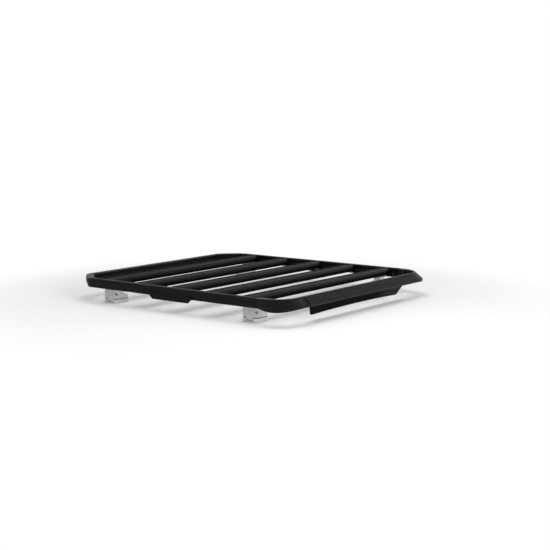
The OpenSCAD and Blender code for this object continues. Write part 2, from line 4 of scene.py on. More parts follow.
import bmesh
import bpy
from bpy.props import FloatProperty, FloatVectorProperty, IntProperty, PointerProperty
from mathutils import Matrix, Vector


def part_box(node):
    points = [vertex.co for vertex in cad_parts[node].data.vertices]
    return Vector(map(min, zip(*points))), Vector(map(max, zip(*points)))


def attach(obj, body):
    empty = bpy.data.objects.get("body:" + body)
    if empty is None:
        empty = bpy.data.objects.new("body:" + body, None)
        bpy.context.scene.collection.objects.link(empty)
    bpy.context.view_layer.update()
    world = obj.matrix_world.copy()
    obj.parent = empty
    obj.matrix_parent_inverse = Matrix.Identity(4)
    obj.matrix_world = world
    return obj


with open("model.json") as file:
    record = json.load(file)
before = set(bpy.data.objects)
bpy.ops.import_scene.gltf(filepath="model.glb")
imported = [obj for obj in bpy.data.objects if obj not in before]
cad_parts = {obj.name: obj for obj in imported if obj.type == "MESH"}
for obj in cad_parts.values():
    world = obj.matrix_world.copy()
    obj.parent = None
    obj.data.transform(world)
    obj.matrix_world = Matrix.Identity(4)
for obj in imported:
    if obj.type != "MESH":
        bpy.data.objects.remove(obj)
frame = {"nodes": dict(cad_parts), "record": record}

bl_info = {
    "name": "Platform roof rack looks",
    "version": (1, 0, 0),
    "blender": (4, 5, 0),
    "location": "3D View > Sidebar > Rack",
    "description": "Materials, fasteners and studio for a flat platform roof rack",
    "category": "Object",
}

SIDES = ("right", "left")
ENDS = ("front", "rear")
SLATS = range(1, 6)

# Sizes of the frame that the added pieces follow, in metres

# Slat brackets: thickness, radius and end distance of their holes, spacing of their screws
BRACKET_T = 0.004
BRACKET_HOLE_R = 0.0032
BRACKET_HOLE_EDGE = 0.002
SCREW_PITCH = 0.016
RAIL_SCREW_DROP = 0.0081

# Joint bolts: in the castings' pockets and on the side rails' inner faces
BOLT_FROM_SIDE = 0.033
BOLT_FROM_JOINT = 0.014
WALL_BOLT_FROM_JOINT = 0.030
WALL_BOLT_DROP = 0.034

# Castings: web behind the front ones, chamfer across the rear ones, tie-down holes and slots
FRONT_WEB = 0.042
CHAMFER = 0.107
CHAMFER_W = 0.044
HOLE_DROP = 0.015
FRONT_HOLE_X = 0.057
REAR_HOLES_APART = 0.092
SLOT_FROM_REAR = 0.015
SLOT_FROM_JOINT = 0.011

# Feet: corner that holds the lock, top of the base, groove and recess round the tab
FOOT_NOSE_R = 0.028
LOCK_Z = 0.050
LOCK_HOLE_R = 0.0083
BASE_TOP = 0.021
GROOVE_H = 0.004
TAB_W = 0.040
TAB_H = 0.010
TAB_GAP = 0.0025

# Mesh work: normal of a face that counts as level, distance at which points merge, and the
# turn from one copy of a piece to the next in radians
LEVEL = 0.99
MERGE = 0.000002
COPY_TURN = 0.4

# Powder coat: how many times lighter than its colour the patches, the specks, the dust with its painted
# sheen and the rubbed edges with their painted highlight are
PATCH_GAINS = (0.82, 1.2)
SPECK_GAIN = 2.2
DUST_AND_SHEEN_GAIN = 3.2
WEAR_AND_HIGHLIGHT_GAIN = 4.2

# Colour sockets of the Mix node, which share their names with its other sockets
MIX_FIRST = 6
MIX_SECOND = 7
MIX_RESULT = 2

# Camera that matches the photograph: place and reach in metres, angles in degrees, sensor in mm
CAMERA_PLACE = (4.0723, -5.1830, 1.0695)
CAMERA_TILT = 81.853
CAMERA_HEADING = 37.136
CAMERA_SENSOR = 36.0
CAMERA_REACH = 60.0

# Lamps, each with the place and side of its square, and the floor: side, distance below the
# pads, and the distances from the middle at which it starts to turn white and is white
OVERHEAD_LAMP = ((0.4, -0.6, 3.2), 3.0)
FRONT_LAMP = ((5.0, -2.0, 1.7), 2.4)
FLOOR_SIDE = 24.0
FLOOR_DROP = 0.0005
FLOOR_FADE = (1.0, 1.9)


# Settings


class RackSizes(bpy.types.PropertyGroup):
    """Sizes of the small pieces that are added to the frame."""

    screw_d: FloatProperty(
        name="Bracket screw",
        description="Head diameter of the screws under the slat brackets",
        default=0.0105, min=0.007, max=0.012, unit="LENGTH",
    )
    joint_d: FloatProperty(
        name="Joint bolt",
        description="Head diameter of the bolts beside the corner castings' joints",
        default=0.011, min=0.008, max=0.014, unit="LENGTH",
    )
    screw_h: FloatProperty(
        name="Bracket screw height", description="Height of the bracket screws' heads",
        default=0.0042, min=0.003, max=0.005, unit="LENGTH",
    )
    joint_h: FloatProperty(
        name="Joint bolt height", description="Height of the joint bolts' heads",
        default=0.0023, min=0.0015, max=0.0025, unit="LENGTH",
    )
    washer_t: FloatProperty(
        name="Washer", description="Thickness of the washers under the joint bolts",
        default=0.0012, min=0.0008, max=0.002, unit="LENGTH",
    )
    rail_screw_r: FloatProperty(
        name="Rail screw", description="Radius of the screws' heads on the side rails",
        default=0.0034, min=0.0028, max=0.0036, unit="LENGTH",
    )
    rail_screw_h: FloatProperty(
        name="Rail screw height", description="Height of the screws' heads on the side rails",
        default=0.0022, min=0.0015, max=0.003, unit="LENGTH",
    )
    eyelet_r: FloatProperty(
        name="Eyelet",
        description="Outer radius of the rings in the tie-down holes",
        default=0.0082, min=0.007, max=0.010, unit="LENGTH",
    )
    hole_r: FloatProperty(
        name="Tie-down hole",
        description="Inner radius of the rings in the tie-down holes",
        default=0.0054, min=0.004, max=0.0056, unit="LENGTH",
    )
    pocket: FloatProperty(
        name="Pocket",
        description="Depth of the pockets in the castings' tops",
        default=0.0025, min=0.0015, max=0.003, unit="LENGTH",
    )
    bezel_r: FloatProperty(
        name="Lock bezel",
        description="Outer radius of the raised ring round each foot lock",
        default=0.0135, min=0.011, max=0.016, unit="LENGTH",
    )


class RackColors(bpy.types.PropertyGroup):
    """Base colours of the finishes."""

    coat: FloatVectorProperty(
        name="Extrusions", description="Powder coat on the rails and slats",
        subtype="COLOR", size=3, min=0.0, max=1.0, default=(0.0034, 0.0034, 0.0036),
    )
    cast: FloatVectorProperty(
        name="Castings", description="Powder coat on the corner castings",
        subtype="COLOR", size=3, min=0.0, max=1.0, default=(0.0038, 0.0038, 0.0040),
    )
    sheet: FloatVectorProperty(
        name="Sheet", description="Powder coat on the deflector, nose cover and side plates",
        subtype="COLOR", size=3, min=0.0, max=1.0, default=(0.0032, 0.0032, 0.0034),
    )
    plastic: FloatVectorProperty(
        name="Feet", description="Moulded plastic of the feet",
        subtype="COLOR", size=3, min=0.0, max=1.0, default=(0.52, 0.52, 0.52),
    )
    rubber: FloatVectorProperty(
        name="Pads", description="Rubber under the feet",
        subtype="COLOR", size=3, min=0.0, max=1.0, default=(0.46, 0.46, 0.46),
    )
    steel: FloatVectorProperty(
        name="Steel", description="Screws, bolts and plates",
        subtype="COLOR", size=3, min=0.0, max=1.0, default=(0.42, 0.42, 0.43),
    )
    floor: FloatVectorProperty(
        name="Floor", description="Studio floor",
        subtype="COLOR", size=3, min=0.0, max=1.0, default=(0.72, 0.72, 0.72),
    )


class RackStage(bpy.types.PropertyGroup):
    """Camera and light."""

    lens: FloatProperty(
        name="Lens", description="Focal length of the camera",
        default=78.48, min=20.0, max=200.0, unit="CAMERA",
    )
    lamp: FloatProperty(
        name="Lamp", description="Power of the soft lamp overhead",
        default=60.0, min=0.0, max=400.0, unit="POWER",
    )
    front_lamp: FloatProperty(
        name="Front lamp", description="Power of the soft lamp in front of the rack",
        default=190.0, min=0.0, max=600.0, unit="POWER",
    )
    ceiling: FloatProperty(
        name="Ceiling", description="Strength of the studio's ceiling in reflections",
        default=0.35, min=0.0, max=1.0, subtype="FACTOR",
    )
    sky: FloatProperty(
        name="Sky", description="Strength of the studio's white walls as a light",
        default=0.7, min=0.0, max=1.0, subtype="FACTOR",
    )
    facets: IntProperty(
        name="Facets", description="Facets round each bolt head",
        default=24, min=12, max=48,
    )


# Places on the frame


def side_of(side):
    """-1 for the right side and 1 for the left."""
    return -1.0 if side == "right" else 1.0


def outer_y(side, node):
    """Outboard limit of a node."""
    lo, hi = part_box(node)
    return lo.y if side == "right" else hi.y


def inner_y(side, node):
    """Inboard limit of a node."""
    lo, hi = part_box(node)
    return hi.y if side == "right" else lo.y


# Mesh tools


def deselect():
    """Leaves object mode with nothing selected."""
    if bpy.context.object and bpy.context.object.mode != "OBJECT":
        bpy.ops.object.mode_set(mode="OBJECT")
    bpy.ops.object.select_all(action="DESELECT")


def edit(obj):
    """Opens a mesh in edit mode with all of it deselected."""
    deselect()
    obj.select_set(True)
    bpy.context.view_layer.objects.active = obj
    bpy.ops.object.mode_set(mode="EDIT")
    bpy.ops.mesh.select_mode(type="FACE")
    bpy.ops.mesh.select_all(action="DESELECT")


def pick(obj, test, kind="faces"):
    """Selects, in edit mode, the faces or edges for which test(element) is true."""
    bpy.ops.mesh.select_mode(type={"edges": "EDGE", "faces": "FACE"}[kind])
    mesh = bmesh.from_edit_mesh(obj.data)
    mesh.normal_update()
    found = 0
    for part in (mesh.verts, mesh.edges, mesh.faces):
        for element in part:
            element.select = False
    for element in getattr(mesh, kind):
        if test(element):
            element.select_set(True)
            found += 1
    mesh.select_flush_mode()
    bmesh.update_edit_mesh(obj.data)
    if not found:
        raise RuntimeError("nothing found to select on " + obj.name)


def close_edit(obj, angle=35.0):
    """Merges doubles, turns the faces outwards and shades the mesh."""
    bpy.ops.mesh.select_all(action="SELECT")
    bpy.ops.mesh.remove_doubles(threshold=MERGE)
    bpy.ops.mesh.normals_make_consistent(inside=False)
    bpy.ops.object.mode_set(mode="OBJECT")
    bpy.ops.object.shade_smooth_by_angle(angle=math.radians(angle))
    return obj


def aim(place, axis, turn=0.0):
    """Matrix that takes +Z to an axis and the origin to a place."""
    z = Vector(axis).normalized()
    base = z.to_track_quat("Z", "Y").to_matrix().to_4x4()
    return Matrix.Translation(Vector(place)) @ base @ Matrix.Rotation(turn, 4, "Z")


def copies(master, places, name, turn=0.0):
    """Copies a piece to each (place, axis), joins the copies and removes the master."""
    made = []
    for number, (place, axis) in enumerate(places):
        mesh = master.data.copy()
        mesh.transform(aim(place, axis, turn + COPY_TURN * number))
        obj = bpy.data.objects.new(name, mesh)
        bpy.context.scene.collection.objects.link(obj)
        made.append(obj)
    bpy.data.objects.remove(master)
    deselect()
    for obj in made:
        obj.select_set(True)
    bpy.context.view_layer.objects.active = made[0]
    if len(made) > 1:
        bpy.ops.object.join()
    obj = bpy.context.view_layer.objects.active
    obj.name = name
    obj.data.name = name
    deselect()
    return obj


def finish_piece(obj, material):
    """Gives a piece its material and body."""
    obj.data.materials.clear()
    obj.data.materials.append(material)
    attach(obj, "root")


# Materials


class Nodes:
    """Short way to lay out the nodes of one procedural material."""

    def __init__(self, name):
        self.material = bpy.data.materials.new(name)
        self.material.use_nodes = True
        self.tree = self.material.node_tree
        self.shader = self.tree.nodes["Principled BSDF"]
        self.place = self.add("ShaderNodeTexCoord").outputs["Object"]

    def add(self, kind, **values):
        """Adds a node with some of its settings."""
        node = self.tree.nodes.new(kind)
        for key, value in values.items():
            setattr(node, key, value)
        return node

    def link(self, source, socket):
        """Links an output to an input."""
        self.tree.links.new(source, socket)

    def noise(self, scale, detail=3.0, rough=0.5, stretch=None):
        """Noise from 0 to 1 over the place on the rack."""
        node = self.add("ShaderNodeTexNoise")
        node.inputs["Scale"].default_value = scale
        node.inputs["Detail"].default_value = detail
        node.inputs["Roughness"].default_value = rough
        source = self.place
        if stretch:
            mapping = self.add("ShaderNodeMapping")
            mapping.inputs["Scale"].default_value = stretch
            self.link(source, mapping.inputs["Vector"])
            source = mapping.outputs["Vector"]
        self.link(source, node.inputs["Vector"])
        return node.outputs["Fac"]

    def span(self, value, low, high, to_low=0.0, to_high=1.0):
        """Takes the range low to high smoothly to another range."""
        node = self.add("ShaderNodeMapRange", interpolation_type="SMOOTHSTEP")
        node.inputs["From Min"].default_value = low
        node.inputs["From Max"].default_value = high
        node.inputs["To Min"].default_value = to_low
        node.inputs["To Max"].default_value = to_high
        self.link(value, node.inputs["Value"])
        return node.outputs["Result"]

    def math(self, operation, first, second):
        """One step of arithmetic on sockets or numbers."""
        node = self.add("ShaderNodeMath", operation=operation)
        for socket, value in zip(node.inputs, (first, second)):
            if isinstance(value, (int, float)):
                socket.default_value = value
            else:
                self.link(value, socket)
        return node.outputs["Value"]

    def wrap(self, value, spacing):
        """Distance from the nearest of a row of places with a spacing."""
        node = self.add("ShaderNodeMath", operation="WRAP")
        self.link(value, node.inputs[0])
        node.inputs[1].default_value = -spacing / 2
        node.inputs[2].default_value = spacing / 2
        return node.outputs["Value"]

    def blend(self, factor, first, second):
        """Mixes two colours, each a socket or plain values."""
        node = self.add("ShaderNodeMix", data_type="RGBA")
        self.link(factor, node.inputs["Factor"])
        for socket, value in ((node.inputs[MIX_FIRST], first), (node.inputs[MIX_SECOND], second)):
            if isinstance(value, bpy.types.NodeSocket):
                self.link(value, socket)
            else:
                socket.default_value = (*value, 1.0)
        return node.outputs[MIX_RESULT]

    def split(self):
        """Place on the rack in metres as x, y and z."""
        node = self.add("ShaderNodeSeparateXYZ")
        self.link(self.place, node.inputs["Vector"])
        return node.outputs

    def upward(self):
        """1 on faces that look straight up, 0 on upright faces."""
        node = self.add("ShaderNodeSeparateXYZ")
        self.link(self.add("ShaderNodeNewGeometry").outputs["Normal"], node.inputs["Vector"])
        return node.outputs["Z"]

    def edges(self, radius):
        """How much the surface bends at the edges: 0 on flats, towards 1 on edges."""
        rounded = self.add("ShaderNodeBevel", samples=6)
        rounded.inputs["Radius"].default_value = radius
        flat = self.add("ShaderNodeNewGeometry")
        dot = self.add("ShaderNodeVectorMath", operation="DOT_PRODUCT")
        self.link(rounded.outputs["Normal"], dot.inputs[0])
        self.link(flat.outputs["Normal"], dot.inputs[1])
        return self.span(dot.outputs["Value"], 0.985, 0.78)

    def bump(self, height, strength, distance, normal=None):
        """Normal raised by a height."""
        node = self.add("ShaderNodeBump")
        node.inputs["Strength"].default_value = strength
        node.inputs["Distance"].default_value = distance
        self.link(height, node.inputs["Height"])
        if normal:
            self.link(normal, node.inputs["Normal"])
        return node.outputs["Normal"]

    def soften(self, radius):
        """Normal rounded over the edges."""
        node = self.add("ShaderNodeBevel", samples=6)
        node.inputs["Radius"].default_value = radius
        return node.outputs["Normal"]

    def set(self, **values):
        """Sets inputs of the shader by name."""
        for key, value in values.items():
            self.shader.inputs[key.replace("_", " ")].default_value = value


def tint(color, gain):
    """A colour made lighter or darker."""
    return tuple(min(1.0, channel * gain) for channel in color)


def powder_coat(name, color, rough, level, grain, soft=0.0008, streak=None, fades=(), top=1.0):
    """Black powder coat: fine orange peel, faint marks, edges rubbed lighter with a painted highlight, dust
    with a painted sheen on level faces.

    rough is the roughness and level the specular level, grain the scale of the orange peel,
    soft the reach of the rounded edges in metres and streak the stretch of the marks.
    Each of the fades is (axis, low, high, share): towards the place low the coat reflects that
    share of its level, a painted reflection, lighter where the share is above 1 and darker where it is
    below. top is the share on level faces, which paints their reflection lighter or darker in the same way.
    """
    n = Nodes(name)
    broad = n.noise(5.0, 4.0, 0.6)
    peel = n.noise(grain, 2.0, 0.5)
    speck = n.noise(grain * 0.35, 3.0, 0.7)
    marks = n.noise(14.0, 5.0, 0.65, streak)
    dark, light = (tint(color, gain) for gain in PATCH_GAINS)
    body = n.blend(n.span(broad, 0.35, 0.68), dark, light)
    body = n.blend(n.span(speck, 0.60, 0.78, 0.0, 0.6), body, tint(color, SPECK_GAIN))
    # Level faces painted lighter in patches: settled dust and a painted sheen that stands in for the
    # reflection top takes away
    dust_and_sheen = n.math("MULTIPLY", n.span(n.upward(), 0.85, 0.99), n.span(marks, 0.3, 0.7, 0.5, 1.0))
    body = n.blend(dust_and_sheen, body, tint(color, DUST_AND_SHEEN_GAIN))
    # Edges painted lighter and a little glossier: rubbed wear and a painted highlight along them
    wear_and_highlight = n.math("MULTIPLY", n.edges(0.0014), n.span(n.noise(60.0, 3.0), 0.35, 0.7, 0.35, 1.0))
    body = n.blend(wear_and_highlight, body, tint(color, WEAR_AND_HIGHLIGHT_GAIN))
    n.link(body, n.shader.inputs["Base Color"])
    marked = n.span(marks, 0.42, 0.72, rough - 0.05, rough + 0.08)
    n.link(n.math("SUBTRACT", marked, n.math("MULTIPLY", wear_and_highlight, 0.08)), n.shader.inputs["Roughness"])
    shaped = n.soften(soft)
    n.link(n.bump(peel, 0.22, 0.00035, shaped), n.shader.inputs["Normal"])
    n.set(Specular_IOR_Level=level)
    # Painted reflection: the specular level changes with facing, height and place to paint light and shade
    # onto the coat
    if fades or top != 1.0:
        gloss = n.span(n.upward(), 0.9, 0.995, level, level * top)
        for axis, low, high, share in fades:
            gloss = n.math("MULTIPLY", gloss, n.span(n.split()[axis], low, high, share, 1.0))
        n.link(gloss, n.shader.inputs["Specular IOR Level"])
    return n.material


def foot_gaps(n):
    """1 in the groove under the feet's covers and in the recess round their tabs, where shade is painted,
    else 0.
    """
    rear_lo, rear_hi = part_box("rear_left_foot_base")
    front_lo, front_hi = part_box("front_left_foot_base")
    rear = (rear_lo.x + rear_hi.x) / 2
    spacing = (front_lo.x + front_hi.x) / 2 - rear
    near = 0.0003
    x, y, z = n.split()
    along = n.math("ABSOLUTE", n.wrap(n.math("SUBTRACT", x, rear), spacing), 0.0)
    sunk = n.math("LESS_THAN", n.math("ABSOLUTE", y, 0.0), rear_hi.y - near)
    recess = n.math("MULTIPLY", sunk, n.math("LESS_THAN", along, TAB_W / 2 + TAB_GAP + near))
    recess = n.math("MULTIPLY", recess, n.math("GREATER_THAN", z, BASE_TOP - TAB_H - TAB_GAP - near / 3))
    gap = n.math("MAXIMUM", recess, n.math("GREATER_THAN", z, BASE_TOP - near / 3))
    return n.math("MULTIPLY", gap, n.math("LESS_THAN", z, BASE_TOP + GROOVE_H + near))


def moulded_plastic(name, color, gap_shade=False):
    """Pale moulded plastic: fine spark-eroded grain, soft mottling, scuffed lower edges, edges painted
    lighter as a painted highlight.

    Where asked, shade is painted near black into the feet's groove and recess.
    """
    n = Nodes(name)
    mottle = n.noise(22.0, 4.0, 0.6)
    grain = n.noise(1500.0, 2.0, 0.6)
    scuff = n.noise(70.0, 5.0, 0.7, (1.0, 1.0, 3.0))
    body = n.blend(n.span(mottle, 0.3, 0.7), tint(color, 0.93), tint(color, 1.06))
    body = n.blend(n.span(scuff, 0.64, 0.8, 0.0, 0.5), body, tint(color, 0.78))
    # Painted highlight: edges painted lighter
    body = n.blend(n.edges(0.0012), body, tint(color, 1.25))
    # Painted shade: the groove and the recess round the tab are painted near black
    if gap_shade:
        body = n.blend(foot_gaps(n), body, tint(color, 0.03))
    n.link(body, n.shader.inputs["Base Color"])
    n.link(n.span(scuff, 0.3, 0.75, 0.44, 0.6), n.shader.inputs["Roughness"])
    n.link(n.bump(grain, 0.25, 0.00025, n.soften(0.0009)), n.shader.inputs["Normal"])
    n.set(Specular_IOR_Level=0.35)
    return n.material


def pad_rubber(name, color):
    """Rubber with a dull bloom and a coarse grain."""
    n = Nodes(name)
    bloom = n.noise(35.0, 5.0, 0.65)
    grain = n.noise(900.0, 3.0, 0.6)
    body = n.blend(n.span(bloom, 0.32, 0.7), tint(color, 0.85), tint(color, 1.12))
    body = n.blend(n.span(grain, 0.58, 0.75, 0.0, 0.5), body, tint(color, 0.7))
    n.link(body, n.shader.inputs["Base Color"])
    n.link(n.span(bloom, 0.3, 0.7, 0.72, 0.9), n.shader.inputs["Roughness"])
    n.link(n.bump(grain, 0.4, 0.0004, n.soften(0.0006)), n.shader.inputs["Normal"])
    n.set(Specular_IOR_Level=0.2)
    return n.material


def brushed_steel(name, color, rough, spots):
    """Plated steel with brushing, small dull spots and brighter edges."""
    n = Nodes(name)
    brush = n.noise(90.0, 4.0, 0.6, (14.0, 1.0, 1.0))
    dull = n.noise(spots, 4.0, 0.6)
    body = n.blend(n.span(brush, 0.3, 0.7), tint(color, 0.8), tint(color, 1.1))
    body = n.blend(n.span(dull, 0.58, 0.74, 0.0, 0.55), body, tint(color, 0.5))
    n.link(body, n.shader.inputs["Base Color"])
    n.link(n.span(dull, 0.35, 0.7, rough - 0.06, rough + 0.12), n.shader.inputs["Roughness"])
    n.link(n.bump(brush, 0.12, 0.0002, n.soften(0.0004)), n.shader.inputs["Normal"])
    n.set(Metallic=1.0)
    return n.material


FINISHES = {}


class RACK_OT_finishes(bpy.types.Operator):
    """Make the finishes and put them on the frame's nodes"""

    bl_idname = "rack.finishes"
    bl_label = "Finishes"

    def execute(self, context):
        c = context.scene.rack_colors
        along_x = (1.0, 1.0, 6.0)
        along_y = (1.0, 6.0, 1.0)
        rubbed = (1.0, 0.2, 5.0)
        coats = {
            # Painted shade: the rails' level faces reflect only a small share of the coat's level
            "black_extrusion": dict(color=c.coat, rough=0.42, level=0.085, grain=900.0,
                                    streak=along_x, top=0.12),
            # Painted shade: slat fronts reflect less towards their bottom and level faces almost nothing;
            # this coat is also darker than the rails'
            "slat_coat": dict(color=tint(c.coat, 0.6), rough=0.44, level=0.17, grain=900.0, streak=along_y,
                              fades=(("Z", 0.106, 0.131, 0.06),), top=0.03),
            # Painted light and shade: the rear rail reflects fully along its top edge, little below it,
            # somewhat more along a low band, and little on level faces
            "rear_coat": dict(color=c.coat, rough=0.42, level=0.5, grain=900.0, soft=0.0020, streak=along_y,
                              fades=(("Z", 0.104, 0.110, 1.7), ("Z", 0.1275, 0.1305, 0.17)), top=0.15),
            "black_casting": dict(color=c.cast, rough=0.46, level=0.1, grain=620.0, soft=0.0045),
            "black_sheet": dict(color=c.sheet, rough=0.48, level=0.075, grain=1000.0, streak=rubbed),
            # Painted highlight: the front rail and nose cover reflect more low down and much more on their
            # level faces
            "nose_coat": dict(color=c.sheet, rough=0.46, level=0.088, grain=1000.0, streak=rubbed,
                              fades=(("Z", 0.100, 0.106, 1.85),), top=2.3),
            # Painted shade: a darker copy of the sheet coat that reflects only a small share of its level
            # except towards its far end at +Y
            "deflector_coat": dict(color=tint(c.sheet, 0.6), rough=0.5, level=0.14, grain=1000.0,
                                   streak=rubbed, fades=(("Y", 0.16, 0.34, 0.15),)),
            "dark_steel": dict(color=tint(c.cast, 2.0), rough=0.38, level=0.2, grain=900.0, soft=0.0004),
        }
        FINISHES.update({name: powder_coat(name, **values) for name, values in coats.items()})
        FINISHES.update({
            "foot_plastic": moulded_plastic("foot_plastic", c.plastic),
            # The bases' plastic has shade painted into its groove and recess
            "base_plastic": moulded_plastic("base_plastic", c.plastic, gap_shade=True),
            "pad_rubber": pad_rubber("pad_rubber", c.rubber),
            "plug_rubber": pad_rubber("plug_rubber", tint(c.rubber, 0.02)),
            # The locks' steel is darker than the plates': its own tone, darkened further to paint in the
            # shade of the gap round each lock
            "lock_metal": brushed_steel("lock_metal", tint(c.steel, 0.6), rough=0.42, spots=160.0),
            "plate_metal": brushed_steel("plate_metal", tint(c.steel, 0.85), rough=0.42, spots=60.0),
        })
        slots = {part["node"]: part["material_slot"] for part in frame["record"]["subparts"]}
        slots.update({"slat_%d" % number: "slat_coat" for number in SLATS})
        slots.update({"%s_%s_foot_base" % (end, side): "base_plastic" for end in ENDS for side in SIDES})
        slots.update({"rear_rail": "rear_coat", "front_rail": "nose_coat",
                      "nose_cover": "nose_coat", "wind_deflector": "deflector_coat"})
        for name, obj in frame["nodes"].items():
            material = FINISHES[slots[name]]
            if not obj.material_slots:
                obj.data.materials.append(material)
            for slot in obj.material_slots:
                slot.material = material
        return {"FINISHED"}


# Fasteners


def disc(name, radius, height, facets):
    """Cylinder standing on z = 0 round the origin, open in edit mode."""
    deselect()
    bpy.ops.mesh.primitive_cylinder_add(
        vertices=facets, radius=radius, depth=height, location=(0, 0, height / 2))
    obj = bpy.context.object
    obj.name = name
    bpy.ops.object.transform_apply(location=True, rotation=True, scale=True)
    edit(obj)
    return obj


def button_head(name, radius, height, facets):
    """Domed head with a hexagon socket, standing on z = 0 and centred on the origin."""
    dome, deep = height * 0.62, height * 0.6
    rim, across = radius * 0.14, radius * 0.42
    obj = disc(name, radius, height, facets)
    pick(obj, lambda e: all(v.co.z > height * 0.9 for v in e.verts), "edges")
    bpy.ops.mesh.bevel(offset=dome, segments=3, affect="EDGES")
    pick(obj, lambda f: f.normal.z > LEVEL and f.calc_area() > radius * radius * 0.5)
    bpy.ops.mesh.inset(thickness=rim)
    mesh = bmesh.from_edit_mesh(obj.data)
    for face in mesh.faces:
        if face.select:
            for vert in face.verts:
                turn = math.atan2(vert.co.y, vert.co.x) % (math.pi / 3) - math.pi / 6
                reach = across / math.cos(turn)
                flat = Vector((vert.co.x, vert.co.y, 0)).normalized() * reach
                vert.co.x, vert.co.y = flat.x, flat.y
    bmesh.update_edit_mesh(obj.data)
    bpy.ops.mesh.extrude_region_move(TRANSFORM_OT_translate={"value": (0, 0, -deep)})
    bpy.ops.mesh.inset(thickness=across * 0.3, depth=-height * 0.08)
    return close_edit(obj)


def washer(name, radius, hole, height, facets):
    """Ring with softened edges, standing on z = 0."""
    obj = disc(name, radius, height, facets)
    pick(obj, lambda f: abs(f.normal.z) > LEVEL)
    bpy.ops.mesh.inset(thickness=radius - hole)
    pick(obj, lambda f: abs(f.normal.z) > LEVEL and all(v.co.xy.length < hole * 1.1 for v in f.verts))
    bpy.ops.mesh.bridge_edge_loops()
    pick(obj, lambda e: all(v.co.xy.length > radius * 0.98 for v in e.verts)
         and abs(e.verts[0].co.z - e.verts[1].co.z) < 1e-6, "edges")
    bpy.ops.mesh.bevel(offset=height * 0.25, segments=2, affect="EDGES")
    return close_edit(obj)


def bracket_screw_places(side):
    """Two screws up into each slat, under the bracket's flange."""
    tip = inner_y(side, side + "_slat_brackets")
    y = tip + side_of(side) * (2 * BRACKET_HOLE_R + BRACKET_HOLE_EDGE)
    places = []
    for number in SLATS:
        lo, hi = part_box("slat_%d" % number)
        for dx in (-SCREW_PITCH / 2, SCREW_PITCH / 2):
            places.append((((lo.x + hi.x) / 2 + dx, y, lo.z - BRACKET_T), (0, 0, -1)))
    return places


class RACK_OT_bracket_screws(bpy.types.Operator):
    """Screws that hold the slat brackets to the slats"""

    bl_idname = "rack.bracket_screws"
    bl_label = "Bracket screws"

    def execute(self, context):
        sizes = context.scene.rack_sizes
        facets = context.scene.rack_stage.facets
        for side in SIDES:
            head = button_head("screw", sizes.screw_d / 2, sizes.screw_h, facets)
            obj = copies(head, bracket_screw_places(side), side + "_bracket_screws")
            finish_piece(obj, FINISHES["plate_metal"])
        return {"FINISHED"}


class RACK_OT_joint_bolts(bpy.types.Operator):
    """Bolts beside the joints: in the front castings' pockets and on the side rails' inner faces"""

    bl_idname = "rack.joint_bolts"
    bl_label = "Joint bolts"

    def execute(self, context):
        sizes = context.scene.rack_sizes
        radius = sizes.joint_d / 2
        wide, narrow, turn = 1.45, 0.6, 0.2
        facets = context.scene.rack_stage.facets
        for side in SIDES:
            out = side_of(side)
            rail_lo, rail_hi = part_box(side + "_side_rail")
            y = outer_y(side, side + "_side_rail") - out * BOLT_FROM_SIDE
            pocket = (rail_hi.x + BOLT_FROM_JOINT, y, rail_hi.z - sizes.pocket)
            inner = inner_y(side, side + "_side_rail")
            walls = [((x, inner, rail_hi.z - WALL_BOLT_DROP), (0, -out, 0))
                     for x in (rail_hi.x - WALL_BOLT_FROM_JOINT, rail_lo.x + WALL_BOLT_FROM_JOINT)]
            heads = [((p[0], p[1] - out * sizes.washer_t, p[2]), a) for p, a in walls]
            head = button_head("bolt", radius, sizes.joint_h, facets)
            obj = copies(head, [(pocket, (0, 0, 1))] + heads, side + "_joint_bolts", turn)
            finish_piece(obj, FINISHES["dark_steel"])
            ring = washer("washer", radius * wide, radius * narrow, sizes.washer_t, facets)
            obj = copies(ring, walls, side + "_joint_washers")
            finish_piece(obj, FINISHES["dark_steel"])
        return {"FINISHED"}


class RACK_OT_rail_screws(bpy.types.Operator):
    """Screws that hold each slat bracket to the side rail"""

    bl_idname = "rack.rail_screws"
    bl_label = "Rail screws"

    def execute(self, context):
        sizes = context.scene.rack_sizes
        facets = context.scene.rack_stage.facets
        for side in SIDES:
            out = side_of(side)
            y = inner_y(side, side + "_side_rail") - out * BRACKET_T
            places = []
            for number in SLATS:
                lo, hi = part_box("slat_%d" % number)
                for dx in (-SCREW_PITCH / 2, SCREW_PITCH / 2):
                    places.append((((lo.x + hi.x) / 2 + dx, y, lo.z - RAIL_SCREW_DROP), (0, -out, 0)))
            head = button_head("screw", sizes.rail_screw_r, sizes.rail_screw_h, facets)
            obj = copies(head, places, side + "_rail_screws")
            finish_piece(obj, FINISHES["dark_steel"])
        return {"FINISHED"}


# Castings' fittings


def eyelet(name, radius, hole, facets):
    """Flanged ring: flange on z = 0, barrel reaching back into the hole."""
    flange, barrel, fit = 0.0011, 0.0034, 0.0058
    obj = disc(name, radius, flange, facets)
    pick(obj, lambda f: f.normal.z < -LEVEL)
    bpy.ops.mesh.inset(thickness=radius - fit)
    bpy.ops.mesh.extrude_region_move(TRANSFORM_OT_translate={"value": (0, 0, -barrel)})
    bpy.ops.mesh.inset(thickness=fit - hole)
    pick(obj, lambda f: f.normal.z > LEVEL and len(f.verts) == facets)
    bpy.ops.mesh.inset(thickness=radius - hole)
    pick(obj, lambda f: abs(f.normal.z) > LEVEL and len(f.verts) == facets)
    bpy.ops.mesh.bridge_edge_loops()
    pick(obj, lambda e: all(v.co.z > flange * 0.9 for v in e.verts)
         and abs(e.verts[0].co.xy.length - e.verts[1].co.xy.length) < 1e-5, "edges")
    bpy.ops.mesh.bevel(offset=flange * 0.4, segments=2, affect="EDGES")
    return close_edit(obj)


